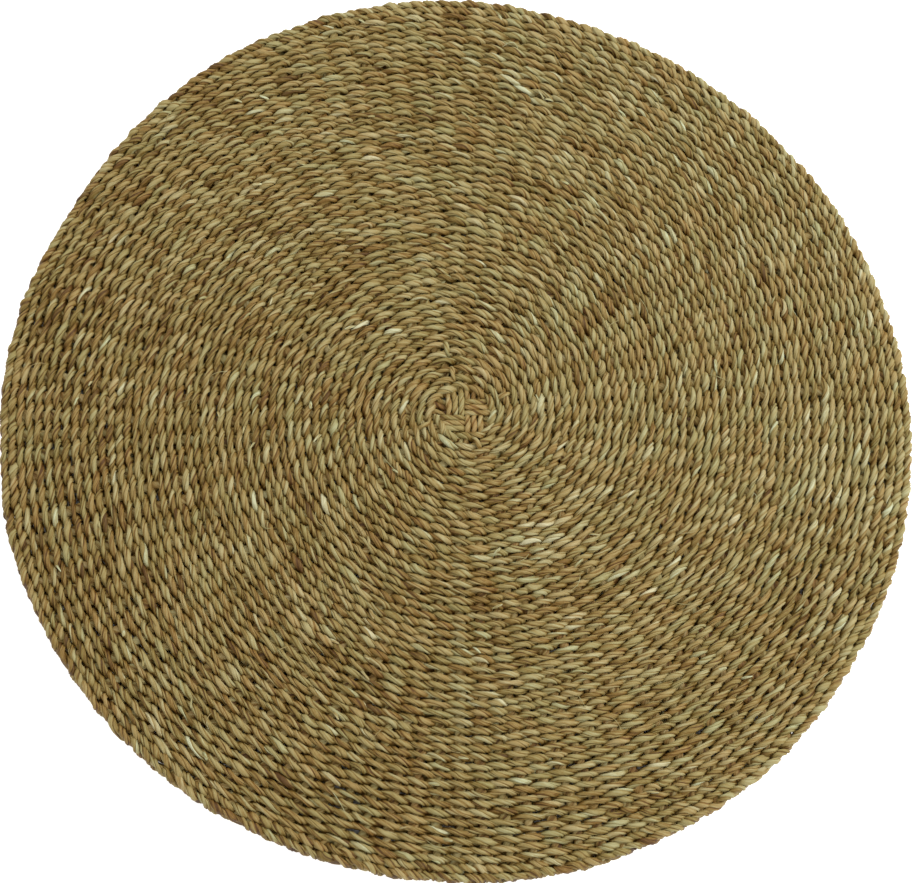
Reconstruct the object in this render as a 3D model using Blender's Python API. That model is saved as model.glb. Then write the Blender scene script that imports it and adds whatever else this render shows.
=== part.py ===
"""Round hand-woven seagrass seat pad, built piece by piece.

Twelve base spokes cross in a small check at the middle, six one way and six the other, and fan
out to the rim.  Further spokes join them once they have spread.  Pairs of weft strands twine
round the spokes, one over and one under, and change places between every two spokes.  A closer
pair binds the rim.  Metres, +Z up.  The pad lies on Z = 0, centred on the origin.
"""

import math

import bmesh
import bpy

# ------------------------------------------------------------------ driving dimensions
PAD_DIAMETER = 0.400
COURSES = 14  # twined pairs between the check and the border
BORDER_WIDTH = 0.0080  # radial room of the closer pair at the rim

SPOKE_WIDTH = 0.0026
SPOKE_THICKNESS = 0.0022
SPOKE_CROWN = 0.0010  # flat width along the top and bottom of a spoke between the strands
CHECK_CROWN = 0.0020  # the same where spokes press flat on each other in the check

STRAND_THICKNESS = 0.0026
CREST_CLEARANCE = 0.0008  # between a spoke and the strand that rides over or under it
CROSSING_HALF_HEIGHT = 0.0010  # a strand is pinched where the pair changes places

FIT_GAP = 0.0003  # between spokes that lie side by side or on each other
STRAND_GAP = 0.0005  # between strands, side by side or course to course
CHECK_SLOT = 0.0018  # slot between the two groups of three, where spokes change level
DIVE_ROOM = 0.0038  # clear width between spokes where the first pair dives between them

CORDS_PER_GROUP = 3
GROUPS_EACH_WAY = 2
FIRST_ADDED_COURSE = 10  # the added spokes start under the course before this one
SPOKE_END_INSET = 0.0025  # the border covers the spoke ends by this much

# ------------------------------------------------------------------ sizes that follow
PAD_RADIUS = PAD_DIAMETER / 2
CORDS_EACH_WAY = CORDS_PER_GROUP * GROUPS_EACH_WAY
INNER_COUNT = 4 * CORDS_EACH_WAY  # spoke ends that leave the check
ADDED_COUNT = INNER_COUNT // 2  # one in the middle of every second space
OUTER_COUNT = INNER_COUNT + ADDED_COUNT

CORD_PITCH = SPOKE_WIDTH + FIT_GAP
CHECK_HALF = CHECK_SLOT / 2 + CORDS_PER_GROUP * CORD_PITCH
LOW_LEVEL = SPOKE_THICKNESS / 2  # the lower layer of the check lies on Z = 0
HIGH_LEVEL = LOW_LEVEL + SPOKE_THICKNESS + FIT_GAP

STRAND_OFFSET = SPOKE_THICKNESS / 2 + CREST_CLEARANCE + STRAND_THICKNESS / 2
PAD_THICKNESS = 2 * STRAND_OFFSET + STRAND_THICKNESS
MID_LEVEL = PAD_THICKNESS / 2

FIRST_RADIUS = INNER_COUNT * (SPOKE_WIDTH + DIVE_ROOM) / (2 * math.pi)
BORDER_RADIUS = PAD_RADIUS - (BORDER_WIDTH - STRAND_GAP) / 2
COURSE_SPAN = BORDER_RADIUS - BORDER_WIDTH / 2 - FIRST_RADIUS
COURSE_PITCH = COURSE_SPAN / (COURSES - 0.5)
FAN_RADIUS = FIRST_RADIUS - COURSE_PITCH / 2  # spokes are level from here outwards
SPOKE_END_RADIUS = PAD_RADIUS - SPOKE_END_INSET

INNER_STEP = 2 * math.pi / INNER_COUNT
OUTER_STEP = 2 * math.pi / OUTER_COUNT

STRAW_COLOURS = {
    "spoke": (0.30, 0.22, 0.09, 1.0),
    "added": (0.34, 0.26, 0.11, 1.0),
    "strand_a": (0.36, 0.28, 0.12, 1.0),
    "strand_b": (0.28, 0.23, 0.10, 1.0),
    "border": (0.25, 0.20, 0.09, 1.0),
}
STRAW_ROUGHNESS = 0.62


def clear_scene():
    """Start from an empty scene."""
    for item in list(bpy.data.objects):
        bpy.data.objects.remove(item, do_unlink=True)


def straw(name, tone):
    """Dry seagrass: a matt, warm olive straw."""
    material = bpy.data.materials.new(name)
    material.use_nodes = True
    shader = material.node_tree.nodes["Principled BSDF"]
    shader.inputs["Base Color"].default_value = STRAW_COLOURS[tone]
    shader.inputs["Roughness"].default_value = STRAW_ROUGHNESS
    shader.inputs["Metallic"].default_value = 0.0
    return material


def strand_object(name, rings, closed, tone):
    """Skin a row of cross-sections into one closed solid, as a loop or with flat ends."""
    mesh = bpy.data.meshes.new(name)
    build = bmesh.new()
    rows = [[build.verts.new(point) for point in ring] for ring in rings]
    sides = len(rings[0])
    spans = len(rows) if closed else len(rows) - 1
    for row in range(spans):
        here = rows[row]
        there = rows[(row + 1) % len(rows)]
        for side in range(sides):
            after = (side + 1) % sides
            build.faces.new((here[side], here[after], there[after], there[side]))
    if not closed:
        build.faces.new(rows[0][::-1])
        build.faces.new(rows[-1])
    bmesh.ops.recalc_face_normals(build, faces=build.faces)
    build.to_mesh(mesh)
    build.free()
    mesh.materials.append(straw(name, tone))
    piece = bpy.data.objects.new(name, mesh)
    bpy.context.scene.collection.objects.link(piece)
    return piece


def polar(radius, angle, height):
    """A point given by its distance from the middle, its bearing and its height."""
    return (radius * math.cos(angle), radius * math.sin(angle), height)


# ------------------------------------------------------------------ spokes
def inner_angle(index):
    """Bearing of a spoke end between the check and the last course without added spokes."""
    return (index + 0.5) * INNER_STEP


def outer_angle(index):
    """Bearing of the same end further out, where an added spoke has pushed the pair apart."""
    pair, member = divmod(index, 2)
    return (3 * pair + 0.5 + 2 * member) * OUTER_STEP


def added_angle(index):
    """Bearing of an added spoke, in the middle of its pair of base spokes."""
    return (3 * index + 1.5) * OUTER_STEP


def course_radius(course):
    """Centre line of a course, counted from 0 at the check."""
    return FIRST_RADIUS + course * COURSE_PITCH


def spoke_ring(centre, along, crown):
    """Six-sided cross-section of a spoke, upright and square to its run in plan."""
    x, y, z = centre
    length = math.hypot(*along)
    side = (-along[1] / length, along[0] / length)
    half_crown = crown / 2
    half_width = SPOKE_WIDTH / 2
    half_thick = SPOKE_THICKNESS / 2
    outline = (
        (half_width, 0.0),
        (half_crown, half_thick),
        (-half_crown, half_thick),
        (-half_width, 0.0),
        (-half_crown, -half_thick),
        (half_crown, -half_thick),
    )
    return [(x + side[0] * u, y + side[1] * u, z + v) for u, v in outline]


def spoke_rings(stations):
    """Cross-sections along a row of (point, crown) stations, mitred at each bend in plan."""
    rings = []
    for number, (point, crown) in enumerate(stations):
        before = stations[max(number - 1, 0)][0]
        after = stations[min(number + 1, len(stations) - 1)][0]
        along = (after[0] - before[0], after[1] - before[1])
        rings.append(spoke_ring(point, along, crown))
    return rings


def spoke_end(index):
    """Stations of one spoke end, from just outside the check to the border."""
    last_inner = course_radius(FIRST_ADDED_COURSE - 1)
    first_outer = course_radius(FIRST_ADDED_COURSE)
    near = inner_angle(index)
    far = outer_angle(index)
    return [
        (polar(FAN_RADIUS, near, MID_LEVEL), SPOKE_CROWN),
        (polar(last_inner, near, MID_LEVEL), SPOKE_CROWN),
        (polar(first_outer, far, MID_LEVEL), SPOKE_CROWN),
        (polar(SPOKE_END_RADIUS, far, MID_LEVEL), SPOKE_CROWN),
    ]


def base_spoke(row, quarter_turn):
    """One cord of the check with both its ends, running along X or turned to run along Y."""
    group, member = divmod(row, CORDS_PER_GROUP)
    from_slot = CHECK_SLOT / 2 + CORD_PITCH / 2
    if group == 0:
        offset = -from_slot - (CORDS_PER_GROUP - 1 - member) * CORD_PITCH
        left, right = HIGH_LEVEL, LOW_LEVEL
    else:
        offset = from_slot + member * CORD_PITCH
        left, right = LOW_LEVEL, HIGH_LEVEL
    half_slot = CHECK_SLOT / 2
    check = [
        ((-CHECK_HALF, offset, left), CHECK_CROWN),
        ((-half_slot, offset, left), CHECK_CROWN),
        ((half_slot, offset, right), CHECK_CROWN),
        ((CHECK_HALF, offset, right), CHECK_CROWN),
    ]
    east = row - CORDS_EACH_WAY // 2
    west = INNER_COUNT // 2 - 1 - east
    stations = spoke_end(west % INNER_COUNT)[::-1] + check + spoke_end(east % INNER_COUNT)
    rings = spoke_rings(stations)
    if quarter_turn:
        rings = [[(-y, x, z) for x, y, z in ring] for ring in rings]
    return rings


def make_base_spokes():
    """Six spokes along X and six along Y, woven in groups of three."""
    for row in range(CORDS_EACH_WAY):
        strand_object(f"base_spoke_across_{row + 1}", base_spoke(row, False), False, "spoke")
        strand_object(f"base_spoke_upright_{row + 1}", base_spoke(row, True), False, "spoke")


def make_added_spokes():
    """Single spokes pushed into the weave where the base spokes have spread."""
    start = course_radius(FIRST_ADDED_COURSE) - COURSE_PITCH / 2
    for index in range(ADDED_COUNT):
        angle = added_angle(index)
        stations = [
            (polar(start, angle, MID_LEVEL), SPOKE_CROWN),
            (polar(SPOKE_END_RADIUS, angle, MID_LEVEL), SPOKE_CROWN),
        ]
        strand_object(f"added_spoke_{index + 1:02d}", spoke_rings(stations), False, "added")


# ------------------------------------------------------------------ weft strands
def crest_ring(radius, half_width, angle, side):
    """Four-sided section of a strand on top of a spoke (side 1) or beneath it (side -1)."""
    level = MID_LEVEL + side * STRAND_OFFSET
    return [
        polar(radius - half_width, angle, level),
        polar(radius, angle, level + STRAND_THICKNESS / 2),
        polar(radius + half_width, angle, level),
        polar(radius, angle, level - STRAND_THICKNESS / 2),
    ]


def crossing_ring(radius, half_width, angle, side):
    """Section between two spokes, where the strand lies outside (side 1) or inside its twin."""
    near = STRAND_GAP / 2
    centre = radius + side * (near + half_width) / 2
    half = (half_width - near) / 2
    return [
        polar(centre - half, angle, MID_LEVEL),
        polar(centre, angle, MID_LEVEL + CROSSING_HALF_HEIGHT),
        polar(centre + half, angle, MID_LEVEL),
        polar(centre, angle, MID_LEVEL - CROSSING_HALF_HEIGHT),
    ]


def twined_rings(radius, pitch, count, twin):
    """One strand of a twined pair, once round: over a spoke, outwards, under the next, inwards."""
    half_width = (pitch - STRAND_GAP) / 2
    step = 2 * math.pi / count
    rings = []
    for index in range(count):
        side = 1 if (index + twin) % 2 == 0 else -1
        rings.append(crest_ring(radius, half_width, (index + 0.5) * step, side))
        rings.append(crossing_ring(radius, half_width, (index + 1) * step, side))
    return rings


def make_weft():
    """The twined courses, each a pair of strands, stepped by one spoke from course to course."""
    for course in range(COURSES):
        count = INNER_COUNT if course < FIRST_ADDED_COURSE else OUTER_COUNT
        for twin, letter in enumerate("ab"):
            rings = twined_rings(course_radius(course), COURSE_PITCH, count, twin + course)
            name = f"weft_{course + 1:02d}_strand_{letter}"
            strand_object(name, rings, True, f"strand_{letter}")


def make_border():
    """The closer pair that binds the rim over the spoke ends."""
    for twin, letter in enumerate("ab"):
        rings = twined_rings(BORDER_RADIUS, BORDER_WIDTH, OUTER_COUNT, twin)
        strand_object(f"border_strand_{letter}", rings, True, "border")


clear_scene()
make_base_spokes()
make_added_spokes()
make_weft()
make_border()
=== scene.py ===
"""A round seat pad hand-twined from seagrass, laid flat in a small studio.

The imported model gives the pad's size and the nodes that the pieces stand for.  The sections
follow the weaver: the crossed base spokes, the spokes added as the work grows, the twined weft,
the close rim and the loose ends, and then the studio.  Metres, +Z up.
"""

import math

import bpy
import numpy as np
from mathutils import Matrix, Vector


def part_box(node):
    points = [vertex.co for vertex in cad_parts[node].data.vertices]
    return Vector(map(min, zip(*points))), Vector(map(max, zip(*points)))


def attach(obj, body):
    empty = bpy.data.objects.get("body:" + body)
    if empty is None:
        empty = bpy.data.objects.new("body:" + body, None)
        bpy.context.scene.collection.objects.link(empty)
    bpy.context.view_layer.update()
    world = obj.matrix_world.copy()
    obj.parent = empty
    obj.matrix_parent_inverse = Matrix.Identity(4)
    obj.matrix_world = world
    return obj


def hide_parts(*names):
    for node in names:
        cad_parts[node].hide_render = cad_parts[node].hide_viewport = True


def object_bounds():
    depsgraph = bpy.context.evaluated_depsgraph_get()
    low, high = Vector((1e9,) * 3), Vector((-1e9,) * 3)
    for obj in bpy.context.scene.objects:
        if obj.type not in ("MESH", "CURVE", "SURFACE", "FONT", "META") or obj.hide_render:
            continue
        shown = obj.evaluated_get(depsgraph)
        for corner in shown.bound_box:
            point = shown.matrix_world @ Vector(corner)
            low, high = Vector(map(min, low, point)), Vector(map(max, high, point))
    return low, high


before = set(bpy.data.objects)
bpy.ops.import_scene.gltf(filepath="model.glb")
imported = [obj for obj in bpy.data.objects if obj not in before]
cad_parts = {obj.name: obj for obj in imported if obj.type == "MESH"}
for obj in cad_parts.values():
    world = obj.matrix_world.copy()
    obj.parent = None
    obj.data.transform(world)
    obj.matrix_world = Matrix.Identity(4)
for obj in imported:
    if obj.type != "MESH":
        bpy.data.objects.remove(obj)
cad_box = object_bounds()


# ---- Base spokes ----
# Twelve two-ply cords of seagrass, a little over 2 mm thick and as long as the pad is wide.  Six
# lie one way and six the other, over and under each other in threes, which makes the check.
# From there they run out to the rim in pairs that part where there is room, held by the weft.
PAD_RADIUS = (cad_box[1].x - cad_box[0].x) / 2
MID_HEIGHT = (cad_box[1].z + cad_box[0].z) / 2
FULL_TURN = 2 * math.pi

TURNS = 51  # rows of weft, which is one spiral
FIRST_ROW = 0.0102  # radius at which the spiral starts
FIRST_PITCH = 0.00384  # from row to row at the middle
RIM_ROOM = 0.0030  # from the last row's centre line to the edge
MEAN_PITCH = (PAD_RADIUS - RIM_ROOM - FIRST_ROW) / TURNS
SPIRAL_START = math.radians(165)  # bearing of the first row's start
CHECK_SQUEEZE = 0.0011  # the first rows are this much longer along X than round
SQUEEZE_REACH = 0.008
CHECK_ASIDE = (0.0022, -0.0012)  # the check isn't quite in the middle
ASIDE_REACH = 0.035
ROW_WAVER = 0.00020  # how far a row strays in and out
WAVER_REACH = 0.03  # the radius from which it strays in full
CLOSING_TURNS = 12  # the last rows even out, so that the rim is round
CLOSING_SHARE = 0.9  # of a turn, after which the last row tucks under

PAIRS = 12
MOST_ROOM = 0.0106  # widest space between two spokes before one is added
ROOM_SPREAD = (0.93, 1.09)  # as a share of that, because it is judged by eye
PARTING = 1 / 8  # of the room round a pair, by which each of the two moves off
EVENING = 0.3  # share of its error that a spoke makes good at a time
EVENING_PASSES = 3  # in each row
CORDS_IN_GROUP = 3
ACROSS_PITCH = 0.00240  # between the cords that lie along X
UPRIGHT_PITCH = 0.00275
CORD_PLIES = 2
CORD_HALF_WIDTH = 0.00132
CORD_HALF_HEIGHT = 0.00125
CORD_LAY = 0.0120  # in which the two plies go once round each other
CHECK_MIDDLE = 0.0047
CHECK_LIFT = 0.00125
CHECK_END = 0.0105  # from the middle to where the first row holds a cord
CHECK_BEND = 0.0075  # from the middle to where it starts to come back to mid height
CHECK_CROSSING = 0.0013  # from the middle to where it lies fully over or under
CHECK_END_LIFT = 0.3  # of the check's lift, at its end
CHECK_SHARE = 0.85  # the check's length along the upright cords, over that along the rest
ACROSS_ENDS = (15, 22)  # numbers of the first cord's two ends, counted round the check
UPRIGHT_ENDS = (21, 4)
SPOKE_STEP = 0.0009
BASE_SOFTENING = 0.0016  # the length over which a cord rounds its bends
FLAT_HALF_WIDTH = 0.0023  # of a single spoke, pressed flat between the strands
FLAT_HALF_HEIGHT = 0.0016
FLAT_FROM = 0.016
FLAT_REACH = 0.008
SPOKE_END = 0.0026  # how far the spokes stop short of the edge
OUTLINE_FALL = 3  # power by which the outline's waves die away towards the middle


def row_radius(turn):
    """Mean radius of the spiral after that many turns."""
    return FIRST_ROW + FIRST_PITCH * turn - (FIRST_PITCH - MEAN_PITCH) / TURNS * turn**2


def row_pitch(turn):
    """Distance from row to row there."""
    return FIRST_PITCH - 2 * (FIRST_PITCH - MEAN_PITCH) / TURNS * turn


def ease(x):
    """From 0 to 1 as x does, level at both ends."""
    x = np.clip(x, 0, 1)
    return x * x * (3 - 2 * x)


def slow_waves(seed, lengths, count=14):
    """A smooth, uneven field over the pad, about 0, as a function of X and Y."""
    chance = np.random.default_rng(seed)
    size = FULL_TURN / chance.uniform(*lengths, count)
    heading = chance.uniform(0, FULL_TURN, count)
    phase = chance.uniform(0, FULL_TURN, count)

    def field(x, y):
        total = np.zeros(np.shape(x))
        for k, h, p in zip(size, heading, phase):
            total += np.sin(k * (math.cos(h) * x + math.sin(h) * y) + p)
        return total * math.sqrt(2 / count)

    return field


row_sway = slow_waves(seed=11, lengths=(0.035, 0.11))

# The hand-made outline, as waves round the rim: waves per turn, size over the radius, phase.
OUTLINE = ((1, 0.0090, 90), (2, 0.0045, 88), (3, 0.0038, 73), (4, 0.0034, -68))


def lay_out(reach, bearing, closing=0.0):
    """X and Y of the row of that mean radius at a bearing."""
    near = ROW_WAVER * row_sway(reach * np.cos(bearing), reach * np.sin(bearing))
    oval = CHECK_SQUEEZE * np.exp(-(reach - FIRST_ROW) / SQUEEZE_REACH) * np.cos(2 * bearing)
    edge = sum(size * np.cos(waves * bearing + math.radians(phase)) for waves, size, phase in OUTLINE)
    far = reach / PAD_RADIUS
    radius = reach + closing + near * ease(reach / WAVER_REACH) + oval
    radius = radius + PAD_RADIUS * edge * far**OUTLINE_FALL
    aside = np.exp(-reach / ASIDE_REACH)
    x = radius * np.cos(bearing) + CHECK_ASIDE[0] * aside
    return x, radius * np.sin(bearing) + CHECK_ASIDE[1] * aside


def closing_shift(angle):
    """How far out a row moves so that the spiral's last turn keeps the rim round."""
    turn = angle / FULL_TURN
    part = turn % 1
    back = ease((part - CLOSING_SHARE) / (1 - CLOSING_SHARE))
    back = np.where(turn > TURNS - 1, 0, back)
    shift = (1 - part) * (1 - back) + back
    return row_pitch(TURNS) * shift * ease((turn - TURNS + 1 + CLOSING_TURNS) / CLOSING_TURNS)


def plan_spokes():
    """The spokes' bearings row by row, from the spiral's start, with the number of each."""
    chance = np.random.default_rng(5)
    at = (np.arange(PAIRS) + 0.5) * FULL_TURN / PAIRS
    first = round(math.degrees(SPIRAL_START + at[0])) // (360 // PAIRS)
    who = [(2 * ((first + k) % PAIRS), 2 * ((first + k) % PAIRS) + 1) for k in range(PAIRS)]
    following = 2 * PAIRS
    plan = []
    for turn in range(TURNS + 1):
        reach = row_radius(turn + 0.5)
        found_at, found_who = [], []
        for k in range(len(at)):
            before = at[k - 1] - FULL_TURN * (k == 0)
            after = at[(k + 1) % len(at)] + FULL_TURN * (k == len(at) - 1)
            room = MOST_ROOM * chance.uniform(*ROOM_SPREAD) / reach
            if len(who[k]) == 2 and (after - before) / 2 > room:
                part = (after - before) * PARTING
                found_at += [at[k] - part, at[k] + part]
                found_who += [who[k][:1], who[k][1:]]
                continue
            found_at.append(at[k])
            found_who.append(who[k])
            if len(who[k]) + len(who[(k + 1) % len(at)]) == 2 and after - at[k] > room:
                found_at.append((at[k] + after) / 2)
                found_who.append((following,))
                following += 1
        at, who = np.array(found_at), found_who
        for _ in range(EVENING_PASSES):
            before = np.roll(at, 1) - FULL_TURN * (np.arange(len(at)) == 0)
            after = np.roll(at, -1) + FULL_TURN * (np.arange(len(at)) == len(at) - 1)
            at = at + EVENING * ((before + after) / 2 - at)
        plan.append((at.copy(), list(who)))
    return plan


spoke_plan = plan_spokes()


def spoke_tracks():
    """Each spoke's way out as (reach, bearing) where it meets the rows, by its number."""
    tracks = {}
    for turn, (at, who) in enumerate(spoke_plan):
        for angle, numbers in zip(at, who):
            reach = row_radius(turn + angle / FULL_TURN)
            for member, number in enumerate(numbers):
                aside = (member - 0.5) * 2 * CORD_HALF_WIDTH / reach * (len(numbers) == 2)
                tracks.setdefault(number, []).append((reach, SPIRAL_START + angle + aside))
    return tracks


tracks = spoke_tracks()


def spoke_way(number):
    """Points of one spoke end from its first row to the rim, at mid height."""
    reach, bearing = np.array(tracks[number]).T
    last = PAD_RADIUS - SPOKE_END
    out = np.append(np.arange(reach[0], last, SPOKE_STEP), last)
    x, y = lay_out(out, np.interp(out, reach, bearing))
    return np.stack([x, y, np.full(len(x), MID_HEIGHT)], 1)


def even_steps(points, step, blur):
    """A polyline walked in equal steps, its corners softened over that length."""
    points = np.asarray(points, float)
    gone = np.append(0, np.cumsum(np.linalg.norm(np.diff(points, axis=0), axis=1)))
    count = max(int(gone[-1] / step), 4)
    at = np.linspace(0, gone[-1], count + 1)
    way = np.stack([np.interp(at, gone, points[:, k]) for k in range(3)], 1)
    reach = max(int(3 * blur / step), 1)
    weights = np.exp(-0.5 * (np.arange(-reach, reach + 1) * step / blur) ** 2)
    padded = np.concatenate(
        [
            2 * way[0] - way[reach:0:-1],
            way,
            2 * way[-1] - way[-2 : -reach - 2 : -1],
        ]
    )
    weights /= weights.sum()
    return np.stack([np.convolve(padded[:, k], weights, "valid") for k in range(3)], 1)


# Round one ply of a strand: where its points lie and how far they stand out from the middle.
# A shallow crease runs down each ply, and the deep ones are where two plies meet.
PLY_STEPS = np.array((0.0, 0.12, 0.31, 0.50, 0.69, 0.88))
PLY_STAND = np.array((0.66, 0.90, 1.06, 0.96, 1.08, 0.91))
LAY_WANDER = 0.10  # how unsteadily a strand is twisted, from section to section
SLACK = (0.22, 0.28)  # how far its plies shift round it, once and twice in a turn
SLACK_PACE = 1.7
FULLNESS = 0.85  # below 1 a section is squarer than an ellipse, and above 1 it is pinched
PINCH = 0.6
FULL_RISE = 0.0030  # from mid height, at which a ply is clear of the shade painted down between the strands
DEEP_SHADE_SHARE = 0.55  # of a ply's painted lightness that is lost down between the strands, as painted shade


def wrap_strand(way, half_width, half_height, turned, plies, tone, hue, chance, sharp=0.0):
    """Skin of a strand of twisted plies along a way: its points and what its material reads.

    Where sharp is 0 the section is full and flattened, and where it is 1 it is pinched to an edge.
    """
    count = len(way)
    ahead = np.gradient(way, axis=0)
    ahead /= np.linalg.norm(ahead, axis=1)[:, None]
    up = np.array((0.0, 0.0, 1.0))
    side = np.cross(ahead, up)
    side /= np.maximum(np.linalg.norm(side, axis=1), 1e-9)[:, None]
    top = np.cross(side, ahead)
    step = np.concatenate([(ply + PLY_STEPS) / plies for ply in range(plies)]) * FULL_TURN
    stand = np.tile(PLY_STAND, plies)
    wander = np.cumsum(chance.normal(0, LAY_WANDER, (count, 1)), 0)
    wander -= np.linspace(0, 1, count)[:, None] * wander[-1]
    loose = SLACK[1] * np.sin(step[None, :] * 2 + wander * SLACK_PACE)
    loose = loose + SLACK[0] * np.sin(step[None, :] + wander)
    angle = step[None, :] + loose + turned[:, None] + 0.5 * np.sin(wander)
    fullness = FULLNESS + PINCH * np.reshape(sharp, (-1, 1))
    across, rise = np.cos(angle), np.sin(angle)
    wide = np.sign(across) * np.abs(across) ** fullness * stand * half_width[:, None]
    high = np.sign(rise) * np.abs(rise) ** fullness * stand * half_height[:, None]
    skin = way[:, None] + side[:, None] * wide[..., None] + top[:, None] * high[..., None]
    along = np.append(0, np.cumsum(np.linalg.norm(np.diff(way, axis=0), axis=1)))
    along += chance.uniform(0, 50)  # so that no two strands have the same marks
    own = step[None, :] + loose
    round_it = half_width.max() * np.stack([np.cos(own), np.sin(own)], -1)
    fibre = np.concatenate([np.broadcast_to(along[:, None], wide.shape)[..., None], round_it], -1)
    ply = np.repeat(np.arange(plies), len(PLY_STEPS))
    # Painted shade: creases, and whatever lies down between the strands, get a lower value here, which
    # the material paints darker.
    proud = ease(np.abs(skin[..., 2] - MID_HEIGHT) / FULL_RISE)
    painted_lightness = (stand - stand.min()) / np.ptp(stand) * (1 - DEEP_SHADE_SHARE + DEEP_SHADE_SHARE * proud)
    look = np.stack([tone[:, ply], np.broadcast_to(hue[:, None], wide.shape), painted_lightness], -1)
    return skin, fibre, look


STRIP_GIRTH = 0.0085  # round a usual strand
STRIP_PACE = 0.0011  # from section to section along it
STRIP_MARGIN = 0.04  # left free along each side of a strip of the map
CAP_SIZE = 0.35  # of a strand's end on the map, as a share of its cell


def make_piece(name, runs, slot, *nodes):
    """One mesh object from several strands, with a map of straight strips for its surface."""
    spots, fibres, looks, faces, sizes = [], [], [], [], []
    maps, caps = [], []
    quads_so_far = spots_so_far = 0
    segments = sum(len(skin) - 1 for skin, _, _ in runs)
    strips = max(1, round(math.sqrt((segments + 2 * len(runs)) * STRIP_PACE / STRIP_GIRTH)))
    length = math.ceil((segments + 2 * len(runs) + 1) / strips)
    for skin, fibre, look in runs:
        count, sides = skin.shape[:2]
        index = spots_so_far + np.arange(count * sides).reshape(count, sides)
        here, there = index[:-1], index[1:]
        quads = np.stack([here, there, np.roll(there, -1, 1), np.roll(here, -1, 1)], -1)
        number = quads_so_far + np.arange(count - 1)
        strip, part = np.divmod(number, length)
        left = (part / length)[:, None] * np.ones(sides)
        right = ((part + 1) / length)[:, None] * np.ones(sides)
        used = 1 - 2 * STRIP_MARGIN
        low = (strip[:, None] + STRIP_MARGIN + used * np.arange(sides) / sides) / strips
        high = (strip[:, None] + STRIP_MARGIN + used * (np.arange(sides) + 1) / sides) / strips
        corners = np.stack(
            [
                np.stack([left, low], -1),
                np.stack([right, low], -1),
                np.stack([right, high], -1),
                np.stack([left, high], -1),
            ],
            2,
        )
        faces.append(quads.reshape(-1))
        maps.append(corners.reshape(-1, 2))
        sizes += [4] * ((count - 1) * sides)
        caps += [(index[0], sides), (index[-1][::-1], sides)]
        spots.append(skin.reshape(-1, 3))
        fibres.append(fibre.reshape(-1, 3))
        looks.append(look.reshape(-1, 3))
        quads_so_far += count - 1
        spots_so_far += count * sides
    for number, (ring, sides) in enumerate(caps):
        strip, part = divmod(segments + number % (strips * length - segments), length)
        round_it = np.arange(sides) / sides * FULL_TURN
        middle = np.array([(part + 0.5) / length, (strip + 0.5) / strips])
        size = np.array([CAP_SIZE / length, CAP_SIZE / strips])
        faces.append(ring)
        maps.append(middle + size * np.stack([np.cos(round_it), np.sin(round_it)], 1))
        sizes.append(sides)
    spots, faces = np.concatenate(spots), np.concatenate(faces)
    mesh = bpy.data.meshes.new(name)
    mesh.vertices.add(len(spots))
    mesh.vertices.foreach_set("co", spots.astype(np.float32).ravel())
    mesh.loops.add(len(faces))
    mesh.loops.foreach_set("vertex_index", faces.astype(np.int32))
    mesh.polygons.add(len(sizes))
    starts = np.append(0, np.cumsum(sizes)[:-1])
    mesh.polygons.foreach_set("loop_start", starts.astype(np.int32))
    mesh.polygons.foreach_set("loop_total", np.array(sizes, np.int32))
    for label, values in (("fibre", fibres), ("look", looks)):
        kept = mesh.attributes.new(label, "FLOAT_VECTOR", "POINT")
        kept.data.foreach_set("vector", np.concatenate(values).astype(np.float32).ravel())
    mesh.update(calc_edges=True)
    mesh.validate()
    layer = mesh.uv_layers.new(name="OFBake")
    layer.uv.foreach_set("vector", np.concatenate(maps).astype(np.float32).ravel())
    mesh.shade_smooth()
    piece = bpy.data.objects.new(name, mesh)
    bpy.context.scene.collection.objects.link(piece)
    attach(piece, "root")
    if nodes:
        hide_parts(*nodes)
    return piece


class Shade:
    """One socket of a material. Arithmetic on it adds Math nodes."""

    def __init__(self, tree, socket=None):
        self.tree = tree
        self.socket = socket

    def node(self, kind, settings=None, sockets=None, output=0):
        """Adds a node with its settings, then the values or links of its sockets."""
        made = self.tree.nodes.new(kind)
        for name, value in (settings or {}).items():
            if name == "stops":
                ramp = made.color_ramp
                while len(ramp.elements) < len(value):
                    ramp.elements.new(1.0)
                for element, (place, colour) in zip(ramp.elements, value):
                    element.position = place
                    element.color = (*colour, 1.0)
            else:
                setattr(made, name, value)
        for name, value in (sockets or {}).items():
            if isinstance(value, Shade):
                self.tree.links.new(value.socket, made.inputs[name])
            else:
                made.inputs[name].default_value = value
        return Shade(self.tree, made.outputs[output] if len(made.outputs) else None)

    def _math(self, operation, first, second):
        return self.node("ShaderNodeMath", {"operation": operation}, {0: first, 1: second})

    def __add__(self, other):
        return self._math("ADD", self, other)

    def __radd__(self, other):
        return self._math("ADD", other, self)

    def __sub__(self, other):
        return self._math("SUBTRACT", self, other)

    def __rsub__(self, other):
        return self._math("SUBTRACT", other, self)

    def __rmul__(self, other):
        return self._math("MULTIPLY", other, self)

    def __pow__(self, other):
        return self._math("POWER", self, other)


def linear(*shade):
    """A colour given in steps of 0 to 255 as the renderer's own numbers."""
    return tuple(((c / 255 + 0.055) / 1.055) ** 2.4 if c > 10 else c / 3294 for c in shade)


# How much of the straw's range of colour each mark takes up.  The crease mark is painted shade.
BROAD_STREAK = 0.72
FINE_STREAK = 0.80
SPECKLE = 0.30
CREASE_PAINTED_SHADE = 0.42
CREASE_FALL = 1.5  # power by which the painted shade gathers in the bottom of a crease and down between the strands
TINT_STREAK = 0.5


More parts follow.
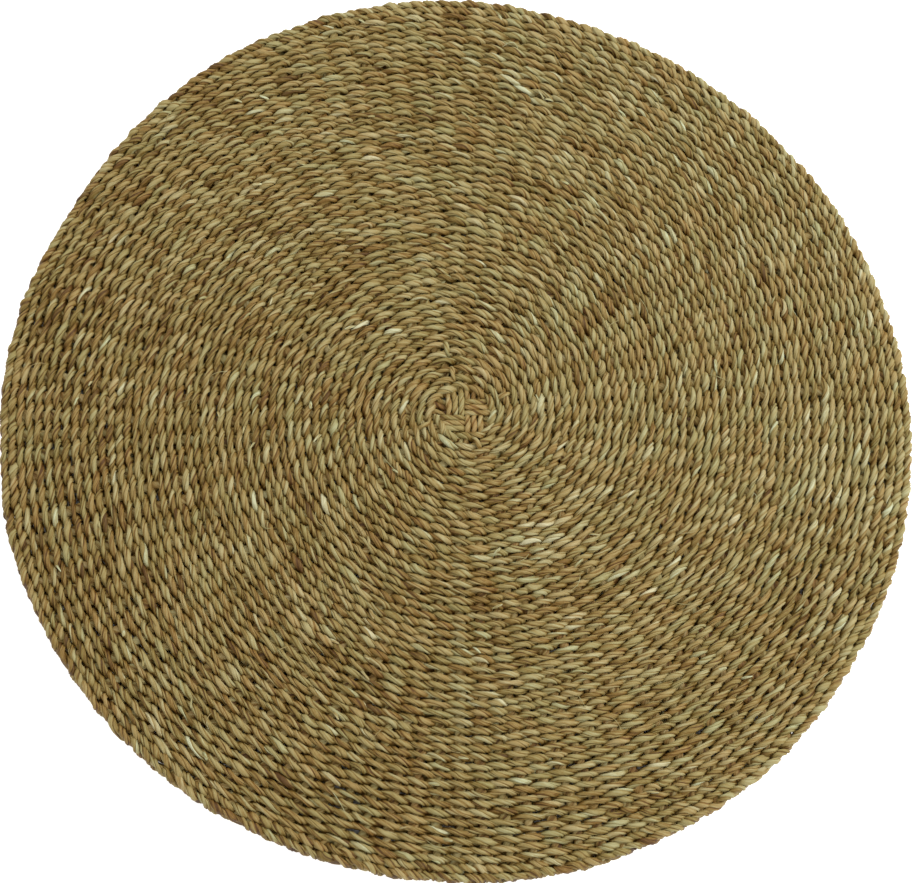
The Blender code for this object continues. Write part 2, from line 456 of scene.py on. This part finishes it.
def seagrass(name, lift=0.0):
    """Dry seagrass: folded olive straw with fine fibres and paler, whitened plies, with shade painted
    into its creases and down between the strands.
    """
    material = bpy.data.materials.new(name)
    material.use_nodes = True
    tree = material.node_tree
    tree.nodes.clear()
    grass = Shade(tree)
    place = grass.node("ShaderNodeAttribute", {"attribute_name": "fibre"}, output=1)
    look = grass.node("ShaderNodeAttribute", {"attribute_name": "look"}, output=1)
    parts = grass.node("ShaderNodeSeparateXYZ", {}, {0: look}).socket.node.outputs
    tone, hue, painted_lightness = (Shade(tree, socket) for socket in parts)

    def streaks(along, across, detail):
        drawn = grass.node(
            "ShaderNodeVectorMath", {"operation": "MULTIPLY"}, {0: place, 1: (along, across, across)}
        )
        return grass.node(
            "ShaderNodeTexNoise", {}, {"Vector": drawn, "Scale": 1.0, "Detail": detail, "Roughness": 0.6}
        )

    broad = streaks(along=190.0, across=1100.0, detail=2.0)
    fine = streaks(along=380.0, across=4200.0, detail=3.0)
    spots = streaks(along=700.0, across=700.0, detail=2.0)
    value = tone + lift + BROAD_STREAK * (broad - 0.5) + FINE_STREAK * (fine - 0.5)
    # Painted shade: darker in the creases and down between the strands.
    value = value + SPECKLE * (spots - 0.5) - CREASE_PAINTED_SHADE * (1 - painted_lightness) ** CREASE_FALL
    colour = grass.node(
        "ShaderNodeValToRGB",
        {
            "stops": (
                (0.00, linear(78, 49, 3)),
                (0.22, linear(124, 95, 38)),
                (0.45, linear(149, 129, 79)),
                (0.68, linear(161, 147, 104)),
                (0.88, linear(174, 166, 128)),
                (1.00, linear(194, 189, 158)),
            )
        },
        {0: value},
    )
    tint = grass.node(
        "ShaderNodeValToRGB",
        {
            "stops": (
                (0.00, (1.00, 0.78, 0.62)),
                (0.30, (1.00, 0.91, 0.80)),
                (0.62, (0.96, 0.99, 0.93)),
                (1.00, (0.85, 0.98, 0.92)),
            )
        },
        {0: hue + TINT_STREAK * (broad - 0.5)},
    )
    colour = grass.node(
        "ShaderNodeMix",
        {"data_type": "RGBA", "blend_type": "MULTIPLY"},
        {0: 1.0, 6: colour, 7: tint},
        output=2,
    )
    bump = grass.node(
        "ShaderNodeBump", {}, {"Strength": 0.55, "Distance": 0.0004, "Height": 0.6 * broad + 0.4 * fine}
    )
    shader = grass.node(
        "ShaderNodeBsdfPrincipled",
        {},
        {
            "Base Color": colour,
            "Roughness": 0.50 + 0.25 * fine,
            "Normal": bump,
            "Specular IOR Level": 0.35,
        },
    )
    grass.node("ShaderNodeOutputMaterial", {}, {"Surface": shader})
    return material


base_material = seagrass("seagrass_base_cord")


CORD_TONE = 0.50  # of a ply, from 0, darkest, to 1, palest
CORD_TONE_SPREAD = 0.13
CORD_HUES = (0.2, 0.8)  # from 0, tan, to 1, grey-green
TONE_LENGTH = 8  # sections along which a ply keeps its tone
SWELL = 0.06
SWELL_PACE = 0.9


def cord_run(way, half_width, half_height, seed):
    """A two-ply cord along a way, its plies each of their own tone."""
    chance = np.random.default_rng(seed)
    count = len(way)
    turned = chance.uniform(0, FULL_TURN) - np.arange(count) * SPOKE_STEP * FULL_TURN / CORD_LAY
    patches = max(count // TONE_LENGTH, 2)
    spread = chance.normal(CORD_TONE, CORD_TONE_SPREAD, (patches, CORD_PLIES))
    at = np.linspace(0, patches - 1, count)
    tone = np.stack([np.interp(at, np.arange(patches), of_ply) for of_ply in spread.T], 1)
    hue = np.full(count, chance.uniform(*CORD_HUES))
    swell = 1 + SWELL * np.sin(np.arange(count) * SWELL_PACE + chance.uniform(0, 6))
    return wrap_strand(
        way,
        half_width * swell,
        half_height * swell,
        turned,
        CORD_PLIES,
        tone,
        hue,
        chance,
    )


def check_way(row, upright):
    """The straight part of a base spoke, over one group of three and under the other."""
    group, member = divmod(row, CORDS_IN_GROUP)
    aside = (row - CORDS_IN_GROUP + 0.5) * (UPRIGHT_PITCH if upright else ACROSS_PITCH)
    lift = CHECK_LIFT if group == 0 else -CHECK_LIFT
    half = [(CHECK_CROSSING, -1), (CHECK_BEND, -1), (CHECK_END, -CHECK_END_LIFT)]
    heights = [(-out, -rise) for out, rise in half[::-1]] + half
    points = [(out, aside, CHECK_MIDDLE + lift * rise) for out, rise in heights]
    if upright:
        points = [(-y, x * CHECK_SHARE, z) for x, y, z in points]
    return np.array(points) + (*CHECK_ASIDE, 0)


def flattened(way):
    """Half width and half height along a spoke, which the strands press flat once it is alone."""
    share = ease((np.hypot(way[:, 0], way[:, 1]) - FLAT_FROM) / FLAT_REACH)
    wide = CORD_HALF_WIDTH + (FLAT_HALF_WIDTH - CORD_HALF_WIDTH) * share
    return wide, CORD_HALF_HEIGHT + (FLAT_HALF_HEIGHT - CORD_HALF_HEIGHT) * share


def base_spoke_run(row, upright):
    """A base spoke with both its ends, which are numbered round the check, two to a pair."""
    low, high = UPRIGHT_ENDS if upright else ACROSS_ENDS
    low, high = low - row, (high + row) % (2 * PAIRS)
    way = np.concatenate([spoke_way(low)[::-1], check_way(row, upright), spoke_way(high)])
    way = even_steps(way, SPOKE_STEP, BASE_SOFTENING)
    return cord_run(way, *flattened(way), seed=100 + row + 50 * upright)


for row in range(2 * CORDS_IN_GROUP):
    for way, upright in (("across", False), ("upright", True)):
        node = f"base_spoke_{way}_{row + 1}"
        cord = make_piece(f"cord_{way}_{row + 1}", [base_spoke_run(row, upright)], "base_spoke", node)
        cord.data.materials.append(base_material)


# ---- Added spokes ----
# More cords of the same twist, pushed into the rows wherever the space between two spokes grows
# past about a centimetre, and held by the weft.  They keep the stitches alike out to the rim.
# One piece holds the added spokes of a twelfth of the pad.
ADDED_PIECES = 12
ADDED_SOFTENING = 0.0012
LEAST_ROWS = 3  # that an added spoke crosses
added_material = seagrass("seagrass_added_cord", 0.02)
sectors = {sector: [] for sector in range(ADDED_PIECES)}
for number in sorted(tracks):
    if number >= 2 * PAIRS and len(tracks[number]) >= LEAST_ROWS:
        way = even_steps(spoke_way(number), SPOKE_STEP, ADDED_SOFTENING)
        run = cord_run(way, *flattened(way), seed=300 + number)
        sector = int((tracks[number][-1][1] % FULL_TURN) / FULL_TURN * ADDED_PIECES)
        sectors[sector].append(run)
for sector, runs in sectors.items():
    name = f"added_spoke_{sector + 1:02d}"
    cords = make_piece(f"added_cords_{sector + 1:02d}", runs, "added_spoke", name)
    cords.data.materials.append(added_material)


# ---- Weft ----
# Two three-ply strands of seagrass, twined round every spoke in turn: one passes over it as the
# other passes under, and they change places in each space.  It is one long spiral from the check
# to the rim, held by its own twist.  Each piece here is a strand's part in one course.
COURSES = 14
STEPS = 10  # sections from spoke to spoke
KNOT_SPREAD = 0.00085  # how far a stitch may be off its spoke
RIM_TURNS = 2.0
RIM_KNOT_SPREAD = 0.0004
RIM_EASE = 6  # stitches over which the rim's close twining begins
RIM_SPACE = 0.0062  # from stitch to stitch in the rim
STRAND_LIFT = 0.0027  # over a spoke, from mid height
STITCH_RISE = 1.2  # above 1, a stitch stands up for less of its length
STRAND_SWING = 0.00064  # how far the strands pass beside each other between spokes
SWING_SPREAD = 0.25  # as a share of that
ASIDE_SPREAD = 0.00028  # how far a stitch lies in or out of its row
RAISED_SPREAD = 0.00024
FACE_WAVER = 0.00016
FIRST_SINK = 0.0006  # how far the first rows lie lower than the rest
SINK_REACH = 0.012
CREST_HALF_WIDTH = 0.00130  # on the face
UNDER_HALF_WIDTH = 0.00192  # on the back, which is packed closer
CROSSING_HALF_WIDTH = 0.00165
WIDTH_SPREAD = 0.16
WIDTH_LIMITS = (0.62, 1.3)
CREST_SPAN = 0.8  # below 1, a stitch keeps its crest's width for more of its length
STRAND_HALF_HEIGHT = 0.00128
CROSSING_DEPTH = 0.80  # how much deeper a strand is between two spokes
HEIGHT_SHARE = 0.05  # of a stitch's extra width that it has in height too
RIM_SWING = 0.15  # how much more the strands swing in the rim
RIM_DROP = 0.10  # how much less they rise there
RIM_WIDENING = 0.16
TUCK_THINNING = 0.7  # of the strands' last end, under the row before
TUCK_IN = 0.0010
TUCK_DOWN = 0.0014
PLIES = 3
TWIST = -3.6  # per space between spokes, so each stitch shows one or two folds
TWIST_SPREAD = 0.7
STITCH_TONE = 0.49
STITCH_TONE_SPREAD = 0.045
PLY_TONE_SPREAD = 0.12
PALE_SHARE = 0.06  # of the plies are bleached
PALE_LIFT = 0.25
LIT_SIDE = math.radians(15)  # the side towards which the pad's tone is painted a little lighter, as painted light
SIDE_PAINTED_LIGHT = 0.09
CLOUDING = 0.018
DIVE_PAINTED_SHADE = 0.05  # painted shade: darker where a strand dives between two spokes
DIVE_FALL = 1.5
LEAST_HUE = 0.30
HUE_RANGE = 0.6
HUE_SHAPE = 2.2  # of the beta distribution that hues are drawn from


def crossings():
    """The angle along the spiral of every place where the pair meets a spoke."""
    chance = np.random.default_rng(21)
    found = []
    for turn in range(TURNS):
        at = spoke_plan[turn][0]
        found.append(FULL_TURN * turn + at + chance.normal(0, KNOT_SPREAD, len(at)) / row_radius(turn))
    found = np.sort(np.concatenate(found))
    body = found[found < FULL_TURN * (TURNS - RIM_TURNS)]
    count = int(FULL_TURN * RIM_TURNS * PAD_RADIUS / RIM_SPACE)
    rim = np.linspace(body[-1], FULL_TURN * TURNS, count)[1:]
    rim = rim + chance.normal(0, RIM_KNOT_SPREAD, len(rim)) / PAD_RADIUS
    return np.concatenate([body, rim]), len(body)


knots, body_knots = crossings()
spaces = len(knots) - 1
at_step = np.arange(spaces * STEPS + 1) / STEPS
angle = np.interp(at_step, np.arange(len(knots)), knots)
turn = angle / FULL_TURN
reach = row_radius(turn)
closing = closing_shift(angle)
bearing = SPIRAL_START + angle
in_rim = ease((at_step - body_knots) / RIM_EASE)
tucked = ease((turn - (TURNS - 1 + CLOSING_SHARE)) / (1 - CLOSING_SHARE))
height_sway = slow_waves(seed=12, lengths=(0.018, 0.07))
tone_sway = slow_waves(seed=13, lengths=(0.03, 0.16))


def between_knots(values, at):
    """Values at the knots, eased from each to the next."""
    low = np.clip(np.floor(at).astype(int), 0, len(values) - 2)
    part = ease(at - low)
    return values[low] * (1 - part) + values[low + 1] * part


def weft_strand(side, seed):
    """The whole spiral of one strand, side 1 or -1: its skin and what its material reads."""
    chance = np.random.default_rng(seed)
    stitches = len(knots)

    def varied(middle, spread, limits=(-math.inf, math.inf)):
        return between_knots(chance.normal(middle, spread, stitches).clip(*limits), at_step)

    swing = np.cos(math.pi * at_step) * side
    crest = np.cos(math.pi * at_step) ** 2
    width = varied(1, WIDTH_SPREAD, WIDTH_LIMITS)
    shift = varied(0, ASIDE_SPREAD)
    raised = varied(0, RAISED_SPREAD)
    reached = varied(1, SWING_SPREAD)
    thin = 1 - TUCK_THINNING * tucked
    pace = row_pitch(turn) / FIRST_PITCH
    out = STRAND_SWING * reached * np.sin(math.pi * at_step) * side * pace * thin
    out = out * (1 + RIM_SWING * in_rim)
    x, y = lay_out(reach + out + shift - TUCK_IN * tucked, bearing, closing)
    level = MID_HEIGHT - FIRST_SINK * (1 - ease((reach - FIRST_ROW) / SINK_REACH))
    rise = np.sign(swing) * np.abs(swing) ** STITCH_RISE
    z = level + STRAND_LIFT * rise * thin * (1 - RIM_DROP * in_rim) + raised * np.abs(swing)
    z = z + FACE_WAVER * height_sway(x, y) - TUCK_DOWN * tucked
    way = np.stack([x, y, z], 1)
    wide = UNDER_HALF_WIDTH + (CREST_HALF_WIDTH - UNDER_HALF_WIDTH) * (0.5 + 0.5 * swing)
    half_width = CROSSING_HALF_WIDTH + (wide * width - CROSSING_HALF_WIDTH) * crest**CREST_SPAN
    half_width = half_width * pace * thin * (1 + RIM_WIDENING * in_rim)
    half_height = STRAND_HALF_HEIGHT * (1 + CROSSING_DEPTH * (1 - crest)) * thin
    half_height = half_height * (1 + HEIGHT_SHARE * (width - 1))
    turned = math.pi / 2 + TWIST * at_step + varied(0, TWIST_SPREAD)
    stitch = np.clip(np.floor(at_step + 0.5).astype(int), 0, stitches - 1)
    each = chance.normal(STITCH_TONE, STITCH_TONE_SPREAD, stitches)
    apart = chance.normal(0, PLY_TONE_SPREAD, (stitches, PLIES))
    apart += PALE_LIFT * (chance.random((stitches, PLIES)) < PALE_SHARE)
    # Painted light: the tone is painted lighter towards one side of the pad, as if that side were lit
    # more.
    toward_lit_side = (math.cos(LIT_SIDE) * x + math.sin(LIT_SIDE) * y) / PAD_RADIUS
    # Painted shade: a strand is painted darker where it dives between two spokes; the clouding is the
    # straw's own uneven tone.
    clouding_and_painted_light = SIDE_PAINTED_LIGHT * toward_lit_side + CLOUDING * tone_sway(x, y) - DIVE_PAINTED_SHADE * (1 - crest) ** DIVE_FALL
    tone = each[stitch, None] + apart[stitch] + clouding_and_painted_light[:, None]
    hue = (LEAST_HUE + HUE_RANGE * chance.beta(HUE_SHAPE, HUE_SHAPE, stitches))[stitch]
    return wrap_strand(way, half_width, half_height, turned, PLIES, tone, hue, chance, 1 - crest)


strands = {"a": weft_strand(1, 31), "b": weft_strand(-1, 32)}
rim_start = body_knots * STEPS
edges = [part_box(f"weft_{course:02d}_strand_a")[1].x for course in range(1, COURSES)]
cuts = [0, *np.searchsorted(reach, edges), rim_start]
weft_materials = {"a": seagrass("seagrass_weft_a"), "b": seagrass("seagrass_weft_b", 0.01)}
for course in range(COURSES):
    kept = slice(cuts[course], cuts[course + 1] + 1)
    for letter, strand in strands.items():
        run = tuple(part[kept] for part in strand)
        node = f"weft_{course + 1:02d}_strand_{letter}"
        twine = make_piece(f"twine_{course + 1:02d}_{letter}", [run], f"weft_strand_{letter}", node)
        twine.data.materials.append(weft_materials[letter])


# ---- Rim ----
# The same pair of strands binds the rim over the spokes' ends, in two rows of wider strands with
# shorter stitches than the rest.  The last end is thinned and tucked under the row before it.
rim_material = seagrass("seagrass_rim", -0.01)
for letter, strand in strands.items():
    run = tuple(part[rim_start:] for part in strand)
    rim = make_piece(f"rim_twine_{letter}", [run], "border_strand", f"border_strand_{letter}")
    rim.data.materials.append(rim_material)


# ---- Loose ends ----
# A strand that runs out is clipped after a new one is laid in, so pale tips and stray fibres of
# seagrass stand up here and there, held between the stitches.  Near the middle the ends of five
# added spokes show as well, each pushed in over one row.
FACE = 0.0040  # from mid height to the top of the stitches
FACE_MARGIN = 0.008  # no loose end has its middle nearer to the edge
CLEAR_MIDDLE = 0.004  # share of the pad's area, at the check, that has none either
LEAN = 0.3  # usual angle of a loose end to its row, in radians
LOOSE_PLIES = 2
LOOSE_TURN = 0.25  # from section to section
LOOSE_TONE_SPREAD = 0.08
LOOSE_HUES = (0.45, 0.95)

TIPS = 80
TIP_RISE = (-0.0030, -0.0011, 0.0000, 0.0003, 0.0002)  # along a tip, from the face
TIP_LENGTHS = (0.0035, 0.0065)
TIP_STEP = 0.0005
TIP_HALF_WIDTHS = (0.00040, 0.00075)
TIP_HALF_HEIGHT = 0.00026
TIP_LEAN_SPREAD = 0.35
TIP_TONE = (0.78, 0.12)  # usual tone and its spread

STRAYS = 50
STRAY_RISE = (-0.0016, -0.0003, 0.0002, 0.0004, 0.0001, -0.0009)
STRAY_LENGTHS = (0.005, 0.012)
STRAY_STEP = 0.0007
STRAY_BEND = 0.0012
STRAY_HALF_WIDTH = 0.00014
STRAY_HALF_HEIGHT = 0.00012
STRAY_LEAN_SPREAD = 0.7
STRAY_TONE = (0.75, 0.15)

# Where each shows: its distance from the middle and its bearing in degrees.
SPOKE_TIPS = ((0.0295, 101), (0.0177, 100), (0.0160, -62), (0.0167, 203), (0.0207, 21))
SPOKE_TIP_REACH = 0.0034  # to each side of the row that it lies over
SPOKE_TIP_RISE = (-0.0030, -0.0004, 0.0002, -0.0004, -0.0030)
SPOKE_TIP_STEP = 0.0006
SPOKE_TIP_HALF_WIDTH = 0.00105
SPOKE_TIP_HALF_HEIGHT = 0.00080


def lying_run(points, step, half_width, half_height, tone, chance, taper):
    """A short end along some points, its own ends drawn in to that share of its size."""
    way = even_steps(points, step, step)
    part = np.linspace(0, 1, len(way))
    size = taper + (1 - taper) * np.sin(math.pi * part) ** 0.5
    turned = chance.uniform(0, FULL_TURN) + LOOSE_TURN * np.arange(len(way))
    tones = chance.normal(tone, LOOSE_TONE_SPREAD, LOOSE_PLIES)
    tones = np.broadcast_to(tones, (len(way), LOOSE_PLIES))
    hue = np.full(len(way), chance.uniform(*LOOSE_HUES))
    wide, high = half_width * size, half_height * size
    return wrap_strand(way, wide, high, turned, LOOSE_PLIES, tones, hue, chance)


def lie_along(chance, length, rise, slant, bend):
    """Points over a chance place on the face, turned by slant from the rows and bent aside."""
    reach = (PAD_RADIUS - FACE_MARGIN) * math.sqrt(chance.uniform(CLEAR_MIDDLE, 1))
    bearing = chance.uniform(0, FULL_TURN)
    x, y = lay_out(reach, bearing)
    heading = bearing + math.pi / 2 - slant
    points = []
    for part, up in zip(np.linspace(-0.5, 0.5, len(rise)), rise):
        along, aside = part * length, bend * (4 * part * part - 1)
        east = along * math.cos(heading) - aside * math.sin(heading)
        north = along * math.sin(heading) + aside * math.cos(heading)
        points.append((x + east, y + north, MID_HEIGHT + FACE + up))
    return points


chance = np.random.default_rng(41)
ends = []
for _ in range(TIPS):
    length = chance.uniform(*TIP_LENGTHS)
    slant = chance.normal(LEAN, TIP_LEAN_SPREAD)
    points = lie_along(chance, length, TIP_RISE, slant, bend=0.0)
    wide = chance.uniform(*TIP_HALF_WIDTHS)
    tone = chance.normal(*TIP_TONE)
    ends.append(lying_run(points, TIP_STEP, wide, TIP_HALF_HEIGHT, tone, chance, taper=0.45))
for _ in range(STRAYS):
    bend = chance.normal(0, STRAY_BEND)
    length = chance.uniform(*STRAY_LENGTHS)
    slant = chance.normal(LEAN, STRAY_LEAN_SPREAD)
    points = lie_along(chance, length, STRAY_RISE, slant, bend)
    tone = chance.normal(*STRAY_TONE)
    run = lying_run(points, STRAY_STEP, STRAY_HALF_WIDTH, STRAY_HALF_HEIGHT, tone, chance, taper=0.6)
    ends.append(run)
tips = make_piece("clipped_tips", ends, "weft_strand_a")
tips.data.materials.append(seagrass("seagrass_tips"))

bridges = []
for reach, degrees in SPOKE_TIPS:
    bearing = math.radians(degrees)
    points = []
    for part, up in zip(np.linspace(-1, 1, len(SPOKE_TIP_RISE)), SPOKE_TIP_RISE):
        out = reach + part * SPOKE_TIP_REACH
        points.append((out * math.cos(bearing), out * math.sin(bearing), MID_HEIGHT + FACE + up))
    wide, high = SPOKE_TIP_HALF_WIDTH, SPOKE_TIP_HALF_HEIGHT
    bridges.append(lying_run(points, SPOKE_TIP_STEP, wide, high, CORD_TONE, chance, taper=0.7))
spoke_tips = make_piece("added_spoke_tips", bridges, "added_spoke")
spoke_tips.data.materials.append(added_material)


# ---- Studio ----
# A plain white table under even light from all round, with two broad soft lamps, one behind and
# one to the right, for the relief.  The camera stands over the pad, a little to the front of it.
TABLE_SIDE = 6.0
TABLE_DROP = 0.0008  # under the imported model, just clear of the lowest strands
TABLE_GLOW = 0.6  # only round the pad, so that no light comes up through it
GLOW_FROM = PAD_RADIUS - 0.006
GLOW_FULL = PAD_RADIUS - 0.001
WORLD_LIGHT = 0.93
LENS = 76.2
SENSOR = 36.0
CAMERA_AT = Vector((-0.039, -0.2237, 0.819))
ROLL = math.radians(-9.9)
FRAME_SHIFT = (-0.00329, -0.02796)  # of its width

ground = bpy.data.meshes.new("table_top")
half = TABLE_SIDE / 2
low = cad_box[0].z - TABLE_DROP
ground.from_pydata(
    [(-half, -half, low), (half, -half, low), (half, half, low), (-half, half, low)], [], [(0, 1, 2, 3)]
)
table_top = bpy.data.objects.new("table_top", ground)
bpy.context.scene.collection.objects.link(table_top)
table_white = bpy.data.materials.new("table_white")
table_white.use_nodes = True
white = table_white.node_tree.nodes["Principled BSDF"]
white.inputs["Base Color"].default_value = (0.9, 0.9, 0.9, 1)
white.inputs["Roughness"].default_value = 0.9
table = Shade(table_white.node_tree)
spot = table.node("ShaderNodeNewGeometry", output=0)
from_middle = table.node("ShaderNodeVectorMath", {"operation": "LENGTH"}, {0: spot}, output=1)
glow = table.node(
    "ShaderNodeMapRange",
    {"interpolation_type": "SMOOTHSTEP"},
    {"Value": from_middle, "From Min": GLOW_FROM, "From Max": GLOW_FULL},
)
glowing = table.node(
    "ShaderNodeMix", {"data_type": "RGBA"}, {0: glow, 6: (0, 0, 0, 1), 7: (1, 1, 1, 1)}, output=2
)
table_white.node_tree.links.new(glowing.socket, white.inputs["Emission Color"])
white.inputs["Emission Strength"].default_value = TABLE_GLOW
ground.materials.append(table_white)

world = bpy.data.worlds.new("studio")
bpy.context.scene.world = world
world.use_nodes = True
world.node_tree.nodes["Background"].inputs["Color"].default_value = (1, 1, 1, 1)
world.node_tree.nodes["Background"].inputs["Strength"].default_value = WORLD_LIGHT


def soft_lamp(name, at, side, watts):
    """A square lamp aimed at the pad's middle."""
    lamp = bpy.data.lights.new(name, "AREA")
    lamp.shape = "SQUARE"
    lamp.size = side
    lamp.energy = watts
    holder = bpy.data.objects.new(name, lamp)
    holder.location = at
    holder.rotation_euler = Vector(at).to_track_quat("Z", "Y").to_euler()
    bpy.context.scene.collection.objects.link(holder)


soft_lamp("key_lamp", at=(-0.05, 1.15, 1.2), side=0.7, watts=6)
soft_lamp("side_lamp", at=(1.1, 0.15, 0.9), side=0.8, watts=12)

camera = bpy.data.cameras.new("camera")
camera.lens = LENS
camera.sensor_width = SENSOR
camera.shift_x, camera.shift_y = FRAME_SHIFT
camera.clip_start = 0.01
holder = bpy.data.objects.new("camera", camera)
bpy.context.scene.collection.objects.link(holder)
back = CAMERA_AT.normalized()
level_right = Vector((-CAMERA_AT.y, CAMERA_AT.x, 0)).normalized()
level_up = back.cross(level_right)
right = math.cos(ROLL) * level_right - math.sin(ROLL) * level_up
up = back.cross(right)
holder.matrix_world = Matrix.Translation(CAMERA_AT) @ Matrix((right, up, back)).transposed().to_4x4()
bpy.context.scene.camera = holder
bpy.context.scene.view_settings.view_transform = "Standard"
